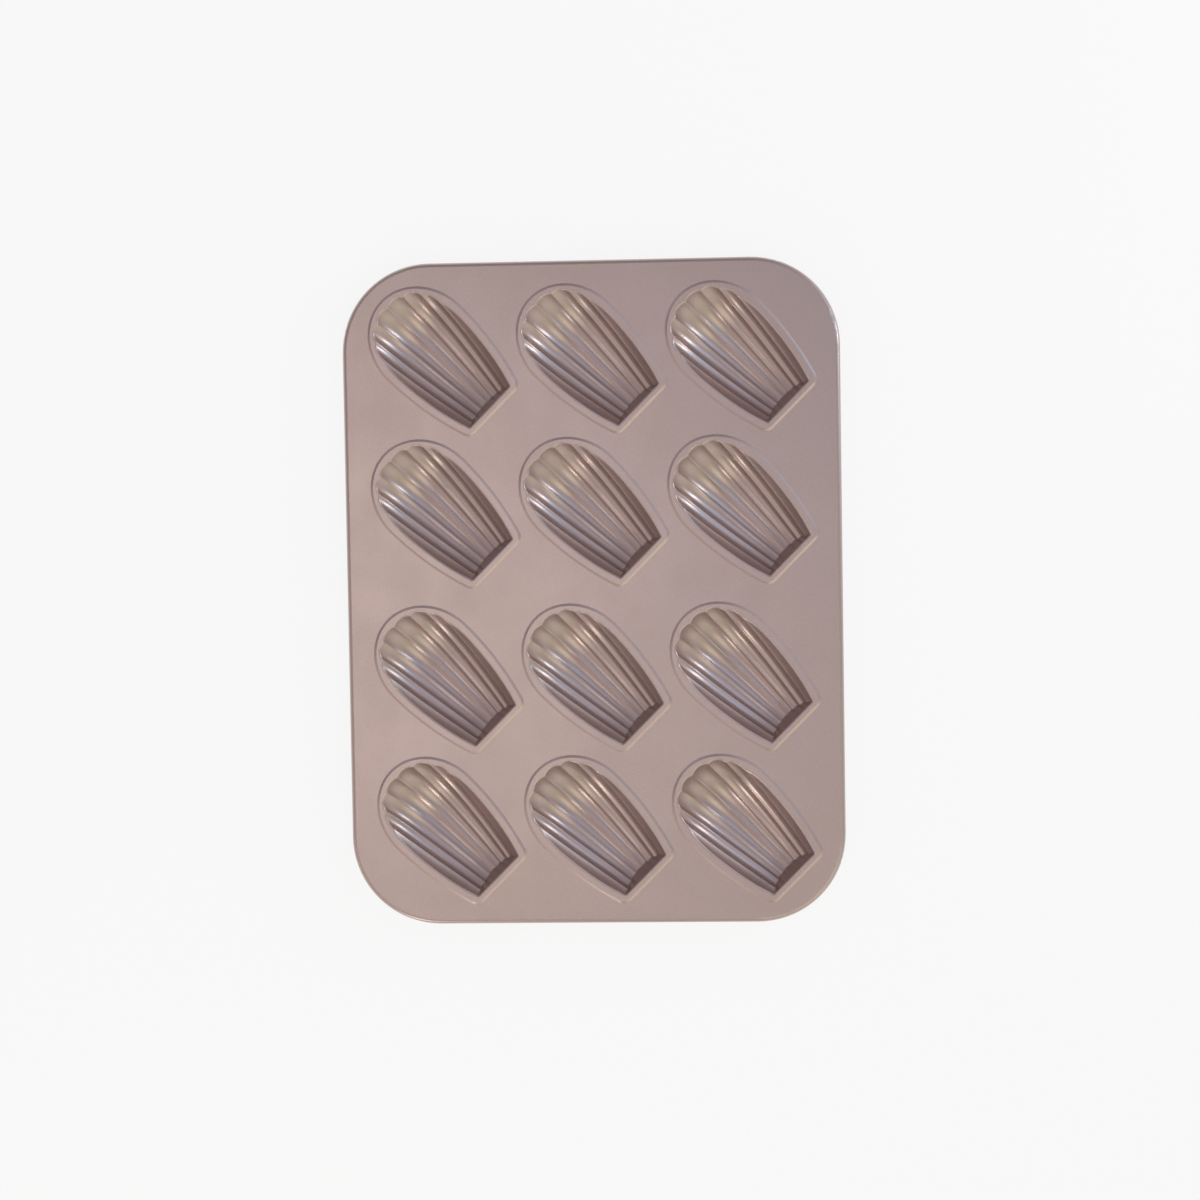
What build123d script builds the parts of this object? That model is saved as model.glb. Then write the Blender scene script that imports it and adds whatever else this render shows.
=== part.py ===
from build123d import *
import os
from math import hypot

os.makedirs("parts", exist_ok=True)

# Overall sizes, in millimetres
pan_length = 353
pan_width = 264
plan_corner_radius = 47
sheet = 0.6

# Rolled edge and the wire inside it
wire_diameter = 3
wire_clearance = 0.2
curl_sweep = 285

# Grid of cups: three columns and four rows, from the outer cups' margins and the wider middle step
side_margin = 53
end_margin = 51.25
middle_gap = 7.5
cup_turn = 45

# Mouth of one shell, measured from its place in the grid, with its fan end towards +Y
narrow_end_reach = 36
narrow_end_width = 31
narrow_corner_radius = 1.5
shoulder_reach = 13
shell_width = 48
fan_reach = 41

# Trough of the shell: the depth of its ridges, its steep fan end and how its sections widen
ridge_depth = 14.5
deepest_reach = -4
level_reach = 25
notch_setback = 1.5
flank_inset = 0.9
narrow_flare = 1.4
end_rise_share = 0.25
headroom_share = 1.8
section_power = 2.5
fan_power = 3.2

# Ridges between the flutes of one half shell, as shares of the trough's half width at each end
ridge_narrow_shares = (0, 0.25, 0.5, 0.73, 1.02)
ridge_fan_shares = (0, 0.434, 0.773, 0.968, 1.12)
flute_sagitta_shares = (0.185, 0.18, 0.155, 0.08)
groove_radius = 0.5

# Sections that shape the trough, as shares of the shell's length from its narrow end
station_shares = (-0.06, 0.1, 0.28, 0.46, 0.62, 0.75, 0.86, 0.95, 1.04)

# Flat wall that closes the narrow end
end_wall_lean = 18
end_wall_radius = 1.1

# Flange of a cup, which lies on the deck with its edge pressed down to a bevel
flange_width = 3.9
bevel_width = 1.3
bevel_depth_share = 0.75
opening_margin = 1.4
lip_radius = 1

notch_reach = fan_reach - notch_setback
shell_length = narrow_end_reach + fan_reach
edge_radius = wire_diameter / 2 + wire_clearance + sheet
narrow_half_width = narrow_end_width / 2 + narrow_flare
level_half_width = shell_width / 2 - flank_inset
outer_row = pan_length / 2 - end_margin
inner_row = (outer_row + middle_gap) / 3
outer_column = pan_width / 2 - side_margin
row_places = (outer_row, inner_row, -inner_row, -outer_row)
column_places = (-outer_column, 0, outer_column)
cup_places = {
    f"shell_cup_r{row}_c{column}": Location((across, along, 0), (0, 0, cup_turn))
    for row, along in enumerate(row_places, 1)
    for column, across in enumerate(column_places, 1)
}


def floor_depth(reach):
    # Depth of the middle ridge: it steepens to the fan end and rises a little to the narrow end
    if reach >= deepest_reach:
        share = (reach - deepest_reach) / (notch_reach - deepest_reach)
        return ridge_depth * (1 - share**fan_power)
    share = (deepest_reach - reach) / (deepest_reach + narrow_end_reach)
    return ridge_depth * (1 - end_rise_share * share**2)


def half_width(reach):
    # The trough widens from the narrow end and levels off towards the fan end
    share = max(level_reach - reach, 0) / (level_reach + narrow_end_reach)
    return level_half_width - (level_half_width - narrow_half_width) * share**2


def trough_height(across, reach):
    rise_share = (abs(across) / half_width(reach)) ** section_power
    return ridge_depth * rise_share - floor_depth(reach)


def ridge_point(share, reach, growth):
    # A ridge on one section of the trough, moved out square to the trough by the growth
    across = share * half_width(reach)
    slope = trough_height(across + sheet, reach) - trough_height(across - sheet, reach)
    climb = trough_height(across, reach + sheet) - trough_height(across, reach - sheet)
    slope_share = slope / (2 * sheet)
    climb_share = climb / (2 * sheet)
    travel = growth * hypot(1, slope_share, climb_share) / hypot(1, slope_share) ** 2
    return (across + travel * slope_share, trough_height(across, reach) - travel)


def make_trough(growth):
    # The solid that fills the fluted trough below the deck, grown outwards by the growth
    end_wall = Plane(
        origin=(0, -narrow_end_reach, 0),
        x_dir=(1, 0, 0),
        z_dir=Vector(0, -1, 0).rotate(Axis.X, end_wall_lean),
    ).offset(growth)
    sagitta_shares = flute_sagitta_shares[::-1] + flute_sagitta_shares
    with BuildPart() as trough:
        for station_share in station_shares:
            reach = station_share * shell_length - narrow_end_reach
            half_ridges = [
                ridge_point(narrow + (fan - narrow) * station_share, reach, growth)
                for narrow, fan in zip(ridge_narrow_shares, ridge_fan_shares)
            ]
            ridges = [(-across, height) for across, height in reversed(half_ridges[1:])]
            ridges += half_ridges
            with BuildSketch(Plane.XZ.offset(-reach)) as section:
                with BuildLine():
                    for start, end, share in zip(ridges, ridges[1:], sagitta_shares):
                        chord = hypot(end[0] - start[0], end[1] - start[1])
                        SagittaArc(start, end, -share * chord)
                    Polyline(
                        ridges[-1],
                        (ridges[-1][0], headroom_share * ridge_depth),
                        (ridges[0][0], headroom_share * ridge_depth),
                        ridges[0],
                    )
                make_face()
                creases = [section.vertices().sort_by_distance(ridge)[0] for ridge in ridges[1:-1]]
                fillet(creases, radius=groove_radius + sheet - growth)
        loft()
        split(bisect_by=end_wall, keep=Keep.BOTTOM)
        wall = trough.faces().filter_by(end_wall).sort_by(Axis.Y)[0]
        fillet(wall.edges().sort_by(Axis.Z)[:-1], radius=end_wall_radius + growth)
        split(bisect_by=Plane.XY, keep=Keep.BOTTOM)
    return trough.part


def make_outline(margin):
    # Smooth outline round a shell's mouth, grown by the margin
    with BuildSketch() as outline:
        with BuildLine():
            shoulder = (shell_width / 2 + margin, shoulder_reach)
            corner = (narrow_end_width / 2 + margin, -narrow_end_reach - margin)
            TangentArc(shoulder, corner, tangent=(0, -1))
            mirror(about=Plane.YZ)
            Line(corner, (-corner[0], corner[1]))
            EllipticalCenterArc(
                (0, shoulder_reach),
                shoulder[0],
                fan_reach + margin - shoulder_reach,
                start_angle=0,
                arc_size=180,
            )
        make_face()
        fillet(outline.vertices().group_by(Axis.Y)[0], radius=narrow_corner_radius + margin)
    return outline.sketch


# One cup: a fluted shell of sheet with a flat flange, made with its flange's top at zero height
inner_trough = make_trough(0)
outer_trough = make_trough(sheet)
with BuildPart() as cup_form:
    add(make_outline(flange_width))
    extrude(amount=-sheet)
    add(outer_trough)
    add(inner_trough, mode=Mode.SUBTRACT)
    flange_top = cup_form.faces().filter_by(Axis.Z).sort_by(Axis.Z)[-1]
    fillet(flange_top.inner_wires()[0].edges(), radius=lip_radius)
    flange_top = cup_form.faces().filter_by(Axis.Z).sort_by(Axis.Z)[-1]
    chamfer(
        flange_top.outer_wire().edges(),
        length=bevel_width,
        length2=bevel_depth_share * sheet,
        reference=flange_top,
    )
flange_height = -cup_form.part.bounding_box().min.Z
deck_height = flange_height - sheet

for name, place in cup_places.items():
    with BuildPart() as shell_cup:
        with Locations(place * Location((0, 0, flange_height))):
            add(cup_form.part)
    shell_cup.part.label = name
    export_step(shell_cup.part, f"parts/{name}.step")

# Deck: a flat sheet with openings for the cups, and its edge rolled round the wire
wire_height = deck_height - edge_radius
straight_width = pan_width - 2 * edge_radius
straight_length = pan_length - 2 * edge_radius
path_radius = plan_corner_radius - edge_radius
with BuildLine(Plane.XY.offset(wire_height)) as rim_quarter:
    side = Line((straight_width / 2, 0), (straight_width / 2, straight_length / 2 - path_radius))
    bend = JernArc(side @ 1, side % 1, path_radius, 90)
    Line(bend @ 1, (0, straight_length / 2))
rim_section = Plane(origin=(straight_width / 2, 0, wire_height), x_dir=(1, 0, 0), z_dir=(0, 1, 0))

with BuildPart() as deck_plate:
    with BuildSketch(rim_section):
        with BuildLine():
            outside = CenterArc((0, 0), edge_radius, 90, curl_sweep)
            inside = CenterArc((0, 0), edge_radius - sheet, 90, curl_sweep)
            Line(outside @ 0, inside @ 0)
            Line(outside @ 1, inside @ 1)
        make_face()
    sweep(path=rim_quarter.wire())
    mirror(about=Plane.YZ)
    mirror(about=Plane.XZ)
    with BuildSketch(Plane.XY.offset(deck_height)):
        RectangleRounded(straight_width, straight_length, path_radius)
    extrude(amount=-sheet)
    with BuildSketch(Plane.XY.offset(deck_height)):
        with Locations(*cup_places.values()):
            add(make_outline(opening_margin))
    extrude(amount=-sheet, mode=Mode.SUBTRACT)
deck_plate.part.label = "deck_plate"
export_step(deck_plate.part, "parts/deck_plate.step")

with BuildPart() as rim_wire:
    with BuildSketch(rim_section):
        Circle(wire_diameter / 2)
    sweep(path=rim_quarter.wire())
    mirror(about=Plane.YZ)
    mirror(about=Plane.XZ)
rim_wire.part.label = "rim_wire"
export_step(rim_wire.part, "parts/rim_wire.step")
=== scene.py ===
import math
import bpy
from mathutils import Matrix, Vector


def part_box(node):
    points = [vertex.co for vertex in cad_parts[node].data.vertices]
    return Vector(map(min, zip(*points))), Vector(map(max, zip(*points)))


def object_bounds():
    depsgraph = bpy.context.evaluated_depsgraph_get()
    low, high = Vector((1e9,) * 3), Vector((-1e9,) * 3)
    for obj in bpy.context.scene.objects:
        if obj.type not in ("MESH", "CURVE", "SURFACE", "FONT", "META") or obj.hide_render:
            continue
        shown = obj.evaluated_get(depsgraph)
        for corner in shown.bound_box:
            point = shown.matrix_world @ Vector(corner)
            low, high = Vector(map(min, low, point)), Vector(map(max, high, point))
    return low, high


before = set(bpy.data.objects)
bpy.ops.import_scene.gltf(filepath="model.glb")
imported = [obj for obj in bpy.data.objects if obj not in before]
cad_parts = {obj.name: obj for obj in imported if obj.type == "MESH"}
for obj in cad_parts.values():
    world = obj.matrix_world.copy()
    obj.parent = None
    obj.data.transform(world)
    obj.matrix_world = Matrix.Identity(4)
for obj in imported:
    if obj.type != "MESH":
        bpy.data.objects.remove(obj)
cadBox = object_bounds()
print("frame loaded with", len(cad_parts), "nodes")

scene = bpy.context.scene
scene.view_settings.view_transform = "Standard"
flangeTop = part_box("shell_cup_r1_c1")[1].z
wireLow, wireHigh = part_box("rim_wire")

# Camera: nearly straight down, from a little to the right of the middle and a little beyond it
cameraSetup = {
    "place": (0.0814, 0.0590, 1.3402),
    "turnDegrees": (-2.75, 3.33, -0.94),
    "lens": 75,
    "sensor": 36,
    "clip": (0.01, 50),
}
cameraData = bpy.data.cameras.new("photoCamera")
cameraData.lens = cameraSetup["lens"]
cameraData.sensor_width = cameraSetup["sensor"]
cameraData.clip_start, cameraData.clip_end = cameraSetup["clip"]
camera = bpy.data.objects.new("photoCamera", cameraData)
camera.location = cameraSetup["place"]
camera.rotation_euler = [math.radians(turn) for turn in cameraSetup["turnDegrees"]]
scene.collection.objects.link(camera)
scene.camera = camera
print("camera placed")


def feedSocket(tree, socket, value):
    # The value is a number, a colour or another node's output
    if isinstance(value, bpy.types.NodeSocket):
        tree.links.new(value, socket)
    else:
        socket.default_value = value


def addNode(tree, kind, inputs=None, **settings):
    node = tree.nodes.new(kind)
    for name, value in settings.items():
        setattr(node, name, value)
    for name, value in (inputs or {}).items():
        feedSocket(tree, node.inputs[name], value)
    return node


def doMath(tree, operation, *values, clamp=False):
    node = addNode(tree, "ShaderNodeMath", operation=operation, use_clamp=clamp)
    for socket, value in zip(node.inputs, values):
        feedSocket(tree, socket, value)
    return node.outputs[0]


def splitVector(tree, vector):
    return addNode(tree, "ShaderNodeSeparateXYZ", {"Vector": vector}).outputs


def makeNoise(tree, vector, scale, detail):
    inputs = {"Vector": vector, "Scale": scale, "Detail": detail}
    return addNode(tree, "ShaderNodeTexNoise", inputs).outputs["Fac"]


def mapValue(tree, value, sources, results=(0.0, 1.0), curve="LINEAR"):
    inputs = {
        "Value": value,
        "From Min": sources[0],
        "From Max": sources[1],
        "To Min": results[0],
        "To Max": results[1],
    }
    return addNode(tree, "ShaderNodeMapRange", inputs, interpolation_type=curve).outputs["Result"]


def mixColours(tree, amount, first, second, blend="MIX"):
    # A mix node keeps its two colours in its seventh and eighth sockets, and the result in its third
    node = addNode(tree, "ShaderNodeMix", data_type="RGBA", blend_type=blend)
    sockets = (node.inputs[0], node.inputs[6], node.inputs[7])
    for socket, value in zip(sockets, (amount, first, second)):
        feedSocket(tree, socket, value)
    return node.outputs[2]


def newGroup(name, inputs, outputs):
    # A node group with named sockets; returns its tree and the inner ends of its inputs and outputs
    group = bpy.data.node_groups.new(name, "ShaderNodeTree")
    for socketName, kind, value in inputs:
        socket = group.interface.new_socket(socketName, in_out="INPUT", socket_type=kind)
        if value is not None:
            socket.default_value = value
    for socketName, kind in outputs:
        group.interface.new_socket(socketName, in_out="OUTPUT", socket_type=kind)
    given = group.nodes.new("NodeGroupInput").outputs
    wanted = group.nodes.new("NodeGroupOutput").inputs
    return group, given, wanted


def useGroup(tree, group, **values):
    return addNode(tree, "ShaderNodeGroup", values, node_tree=group).outputs


# Grain of a sprayed metallic coat: fine flakes, orange peel and slow clouds
grainLayers = {
    "Flakes": {"socket": "FlakeScale", "scale": 2600.0, "detail": 2.0},
    "Peel": {"socket": "PeelScale", "scale": 420.0, "detail": 3.0},
    "Clouds": {"socket": "CloudScale", "scale": 38.0, "detail": 4.0},
}
coatGrain, given, wanted = newGroup(
    "coatGrain",
    [("Vector", "NodeSocketVector", None)]
    + [(layer["socket"], "NodeSocketFloat", layer["scale"]) for layer in grainLayers.values()],
    [(name, "NodeSocketFloat") for name in grainLayers],
)
for name, layer in grainLayers.items():
    noise = makeNoise(coatGrain, given["Vector"], given[layer["socket"]], layer["detail"])
    coatGrain.links.new(noise, wanted[name])

# Distance from the middle line of the rolled edge, which is a rounded rectangle: 0 on the wire's axis
rimPath = {
    "halfWidth": (wireHigh.x - wireLow.x) / 2,
    "halfLength": (wireHigh.y - wireLow.y) / 2,
    "wireRadius": (wireHigh.z - wireLow.z) / 2,
    "cornerRadius": 0.0447,
}
rimDistance, given, wanted = newGroup(
    "rimDistance",
    [("Vector", "NodeSocketVector", None)],
    [("Distance", "NodeSocketFloat")],
)
place = splitVector(rimDistance, given["Vector"])
insets = []
for axis, half in (("X", "halfWidth"), ("Y", "halfLength")):
    reach = rimPath[half] - rimPath["wireRadius"] - rimPath["cornerRadius"]
    offCentre = doMath(rimDistance, "ABSOLUTE", place[axis])
    insets.append(doMath(rimDistance, "SUBTRACT", offCentre, reach))
outside = [doMath(rimDistance, "MAXIMUM", inset, 0.0) for inset in insets]
squares = [doMath(rimDistance, "MULTIPLY", length, length) for length in outside]
corner = doMath(rimDistance, "SQRT", doMath(rimDistance, "ADD", *squares))
inside = doMath(rimDistance, "MINIMUM", doMath(rimDistance, "MAXIMUM", *insets), 0.0)
whole = doMath(rimDistance, "ADD", corner, inside)
distance = doMath(rimDistance, "SUBTRACT", whole, rimPath["cornerRadius"])
rimDistance.links.new(distance, wanted["Distance"])

# Wear where the sheet turns down: full at the height of the flanges' tops, gone one depth below them,
# and broken up by noise
wearSetup = {
    "depth": 0.001,
    "turning": (0.995, 0.85),
    "patchScale": 240.0,
    "patchDetail": 4.0,
    "patchRange": (0.35, 0.65),
}
edgeWear, given, wanted = newGroup(
    "edgeWear",
    [
        ("Vector", "NodeSocketVector", None),
        ("Normal", "NodeSocketVector", None),
        ("Top", "NodeSocketFloat", 0.0),
        ("Depth", "NodeSocketFloat", wearSetup["depth"]),
    ],
    [("Mask", "NodeSocketFloat")],
)
place = splitVector(edgeWear, given["Vector"])
facing = splitVector(edgeWear, given["Normal"])
drop = doMath(edgeWear, "SUBTRACT", given["Top"], place["Z"])
below = doMath(edgeWear, "DIVIDE", drop, given["Depth"])
nearTop = doMath(edgeWear, "SUBTRACT", 1.0, below, clamp=True)
turning = mapValue(edgeWear, facing["Z"], wearSetup["turning"], curve="SMOOTHSTEP")
broken = makeNoise(edgeWear, given["Vector"], wearSetup["patchScale"], wearSetup["patchDetail"])
patches = mapValue(edgeWear, broken, wearSetup["patchRange"])
worn = doMath(edgeWear, "MULTIPLY", doMath(edgeWear, "MULTIPLY", nearTop, turning), patches)
edgeWear.links.new(worn, wanted["Mask"])
print("node groups built")


def newMaterial(name):
    material = bpy.data.materials.new(name)
    material.use_nodes = True
    tree = material.node_tree
    tree.nodes.clear()
    shader = tree.nodes.new("ShaderNodeBsdfPrincipled")
    output = tree.nodes.new("ShaderNodeOutputMaterial")
    tree.links.new(shader.outputs[0], output.inputs["Surface"])
    return material, tree, shader


# Non-stick coat, a warm champagne metallic on both sides of the sheet; the underside is a little duller
coatFinish = {
    "colour": (0.55, 0.44, 0.41, 1),
    "cloudColour": (0.52, 0.415, 0.385, 1),
    "undersideColour": (0.45, 0.36, 0.335, 1),
    "undersideFacing": (-0.1, -0.5),
    "wornColour": (0.64, 0.54, 0.50, 1),
    "wornShare": 0.35,
    "roughness": 0.31,
    "undersideRoughness": 0.42,
    "roughnessSpread": 0.08,
    "flakeShare": 0.10,
    "flakeRange": (0.3, 0.7),
    "bumpHeight": 0.00002,
    "bumpStrength": 0.35,
    "metallic": 0.92,
    "coatWeight": 0.15,
    "coatRoughness": 0.12,
}


def makeCoat(name, finish):
    material, tree, shader = newMaterial(name)
    coordinates = tree.nodes.new("ShaderNodeTexCoord").outputs
    grain = useGroup(tree, coatGrain, Vector=coordinates["Object"])
    wear = useGroup(
        tree, edgeWear, Vector=coordinates["Object"], Normal=coordinates["Normal"], Top=flangeTop
    )
    facing = splitVector(tree, coordinates["Normal"])
    underside = mapValue(tree, facing["Z"], finish["undersideFacing"], curve="SMOOTHSTEP")

    colour = mixColours(tree, grain["Clouds"], finish["colour"], finish["cloudColour"])
    colour = mixColours(tree, underside, colour, finish["undersideColour"])
    wornAmount = doMath(tree, "MULTIPLY", wear["Mask"], finish["wornShare"])
    colour = mixColours(tree, wornAmount, colour, finish["wornColour"])
    brightness = (1 - finish["flakeShare"], 1 + finish["flakeShare"])
    sparkle = mapValue(tree, grain["Flakes"], finish["flakeRange"], brightness)
    tint = addNode(tree, "ShaderNodeCombineColor", {"Red": sparkle, "Green": sparkle, "Blue": sparkle})
    colour = mixColours(tree, 1.0, colour, tint.outputs["Color"], blend="MULTIPLY")
    tree.links.new(colour, shader.inputs["Base Color"])

    bothSides = (finish["roughness"], finish["undersideRoughness"])
    roughness = mapValue(tree, underside, (0.0, 1.0), bothSides)
    centred = doMath(tree, "SUBTRACT", grain["Clouds"], 0.5)
    uneven = doMath(tree, "MULTIPLY", centred, finish["roughnessSpread"])
    tree.links.new(doMath(tree, "ADD", roughness, uneven, clamp=True), shader.inputs["Roughness"])

    bump = addNode(
        tree,
        "ShaderNodeBump",
        {"Height": grain["Peel"], "Strength": finish["bumpStrength"], "Distance": finish["bumpHeight"]},
    )
    tree.links.new(bump.outputs["Normal"], shader.inputs["Normal"])
    shader.inputs["Metallic"].default_value = finish["metallic"]
    shader.inputs["Coat Weight"].default_value = finish["coatWeight"]
    shader.inputs["Coat Roughness"].default_value = finish["coatRoughness"]
    return material


# Drawn steel wire inside the rolled edge, with fine lines along its length
wireFinish = {
    "lightColour": (0.56, 0.55, 0.53, 1),
    "darkColour": (0.30, 0.29, 0.28, 1),
    "roughness": 0.3,
    "roughnessSpread": 0.2,
    "lineScale": 6000.0,
    "alongScale": 60.0,
    "lineDetail": 3.0,
    "bumpHeight": 0.00003,
    "bumpStrength": 0.4,
    "metallic": 1.0,
}


def makeWireSteel(name, finish):
    material, tree, shader = newMaterial(name)
    coordinates = tree.nodes.new("ShaderNodeTexCoord").outputs
    place = splitVector(tree, coordinates["Object"])
    across = useGroup(tree, rimDistance, Vector=coordinates["Object"])["Distance"]
    along = doMath(tree, "ADD", place["X"], place["Y"])
    lines = addNode(
        tree,
        "ShaderNodeCombineXYZ",
        {
            "X": doMath(tree, "MULTIPLY", across, finish["lineScale"]),
            "Y": doMath(tree, "MULTIPLY", place["Z"], finish["lineScale"]),
            "Z": doMath(tree, "MULTIPLY", along, finish["alongScale"]),
        },
    )
    drawn = makeNoise(tree, lines.outputs["Vector"], 1.0, finish["lineDetail"])
    colour = mixColours(tree, drawn, finish["darkColour"], finish["lightColour"])
    tree.links.new(colour, shader.inputs["Base Color"])
    uneven = doMath(tree, "MULTIPLY", drawn, finish["roughnessSpread"])
    tree.links.new(doMath(tree, "ADD", uneven, finish["roughness"]), shader.inputs["Roughness"])
    bump = addNode(
        tree,
        "ShaderNodeBump",
        {"Height": drawn, "Strength": finish["bumpStrength"], "Distance": finish["bumpHeight"]},
    )
    tree.links.new(bump.outputs["Normal"], shader.inputs["Normal"])
    shader.inputs["Metallic"].default_value = finish["metallic"]
    return material


finishes = {
    "coated_sheet": makeCoat("champagneCoat", coatFinish),
    "steel_wire": makeWireSteel("drawnWire", wireFinish),
}
for name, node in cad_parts.items():
    slot = "steel_wire" if name == "rim_wire" else "coated_sheet"
    for holder in node.material_slots:
        holder.material = finishes[slot]
print("materials set")

# Pale floor: mostly white where the camera or a reflection sees it, with the pan's soft shadow left in
floorSetup = {
    "radius": 6.0,
    "corners": 96,
    "colour": (0.92, 0.92, 0.92, 1),
    "whiteShare": 0.86,
}
bpy.ops.mesh.primitive_circle_add(
    vertices=floorSetup["corners"],
    radius=floorSetup["radius"],
    fill_type="NGON",
    location=(0, 0, cadBox[0].z),
)
floor = bpy.context.active_object
floor.name = "floor"
floorMaterial = bpy.data.materials.new("paleFloor")
floorMaterial.use_nodes = True
tree = floorMaterial.node_tree
tree.nodes.clear()
matte = addNode(tree, "ShaderNodeBsdfDiffuse", {"Color": floorSetup["colour"]})
white = addNode(tree, "ShaderNodeEmission", {"Color": (1, 1, 1, 1), "Strength": 1.0})
rays = tree.nodes.new("ShaderNodeLightPath").outputs
seen = doMath(tree, "ADD", rays["Is Camera Ray"], rays["Is Glossy Ray"])
seen = doMath(tree, "ADD", seen, rays["Is Transmission Ray"], clamp=True)
share = doMath(tree, "MULTIPLY", seen, floorSetup["whiteShare"])
mixed = tree.nodes.new("ShaderNodeMixShader")
for socket, source in zip(mixed.inputs, (share, matte.outputs[0], white.outputs[0])):
    tree.links.new(source, socket)
output = tree.nodes.new("ShaderNodeOutputMaterial")
tree.links.new(mixed.outputs[0], output.inputs["Surface"])
floor.data.materials.append(floorMaterial)
print("floor laid")

# Soft studio room: dim round the sides and pale at the horizon, with glows added on top. A glow's
# spread is how far from its middle it ends and how far out it is still full, in degrees
roomLight = {
    "sideColour": (0.19, 0.17, 0.19, 1),
    "horizonColour": (0.70, 0.69, 0.70, 1),
    "horizonHeights": (0.16, 0.52),
    "glows": {
        "dome": {"towards": (0.0, 0.0, 1.0), "spread": (72, 15), "colour": (0.17, 0.165, 0.18, 1)},
        "above": {"towards": (-0.15, -0.05, 0.98), "spread": (11, 0), "colour": (1.54, 1.43, 1.28, 1)},
        "overRight": {"towards": (0.09, 0.02, 0.99), "spread": (14, 0), "colour": (0.02, 0.07, 0.16, 1)},
        "upperRight": {"towards": (0.43, 0.43, 0.79), "spread": (24, 4), "colour": (0.30, 0.27, 0.27, 1)},
        "upperLeft": {"towards": (-0.43, 0.43, 0.79), "spread": (22, 4), "colour": (0.20, 0.18, 0.19, 1)},
        "upperNear": {"towards": (0.30, -0.45, 0.84), "spread": (24, 4), "colour": (0.54, 0.49, 0.40, 1)},
        "farRight": {"towards": (0.75, 0.45, 0.50), "spread": (50, 8), "colour": (0.08, 0.13, 0.20, 1)},
        "nearRight": {"towards": (0.50, -0.60, 0.62), "spread": (50, 8), "colour": (0.40, 0.40, 0.26, 1)},
        "nearLeft": {"towards": (-0.62, -0.42, 0.58), "spread": (36, 6), "colour": (0.42, 0.36, 0.30, 1)},
    },
}
world = bpy.data.worlds.new("studioRoom")
world.use_nodes = True
tree = world.node_tree
direction = tree.nodes.new("ShaderNodeTexCoord").outputs["Generated"]
height = splitVector(tree, direction)["Z"]
upper = mapValue(tree, height, roomLight["horizonHeights"], curve="SMOOTHSTEP")
light = mixColours(tree, upper, roomLight["horizonColour"], roomLight["sideColour"])
for glow in roomLight["glows"].values():
    towards = Vector(glow["towards"]).normalized()
    facing = addNode(tree, "ShaderNodeVectorMath", operation="DOT_PRODUCT")
    for socket, value in zip(facing.inputs, (direction, towards)):
        feedSocket(tree, socket, value)
    limits = [math.cos(math.radians(angle)) for angle in glow["spread"]]
    amount = mapValue(tree, facing.outputs["Value"], limits, curve="SMOOTHSTEP")
    light = mixColours(tree, amount, light, glow["colour"], blend="ADD")
tree.links.new(light, tree.nodes["Background"].inputs["Color"])
scene.world = world

# Lamps outside the picture, turned towards the pan; a lamp's power follows from its radiance and area
lamps = {
    "rightWindow": {
        "place": (0.95, 0.30, 0.36),
        "size": (0.12, 0.26),
        "radiance": 10.0,
        "colour": (0.86, 0.94, 1.0),
    },
    "farCard": {
        "place": (0.52, 0.34, 0.34),
        "size": (0.30, 0.30),
        "radiance": 0.7,
        "colour": (0.38, 0.68, 1.0),
    },
    "nearLamp": {
        "place": (-0.30, -0.78, 0.42),
        "size": (0.16, 0.12),
        "radiance": 8.0,
        "colour": (1.0, 0.95, 0.86),
    },
}
for name, lamp in lamps.items():
    data = bpy.data.lights.new(name, "AREA")
    data.shape = "RECTANGLE"
    data.size, data.size_y = lamp["size"]
    data.energy = lamp["radiance"] * math.pi * lamp["size"][0] * lamp["size"][1]
    data.color = lamp["colour"]
    light = bpy.data.objects.new(name, data)
    light.location = lamp["place"]
    light.rotation_euler = (-Vector(lamp["place"])).to_track_quat("-Z", "Y").to_euler()
    scene.collection.objects.link(light)
print("lamps lit")
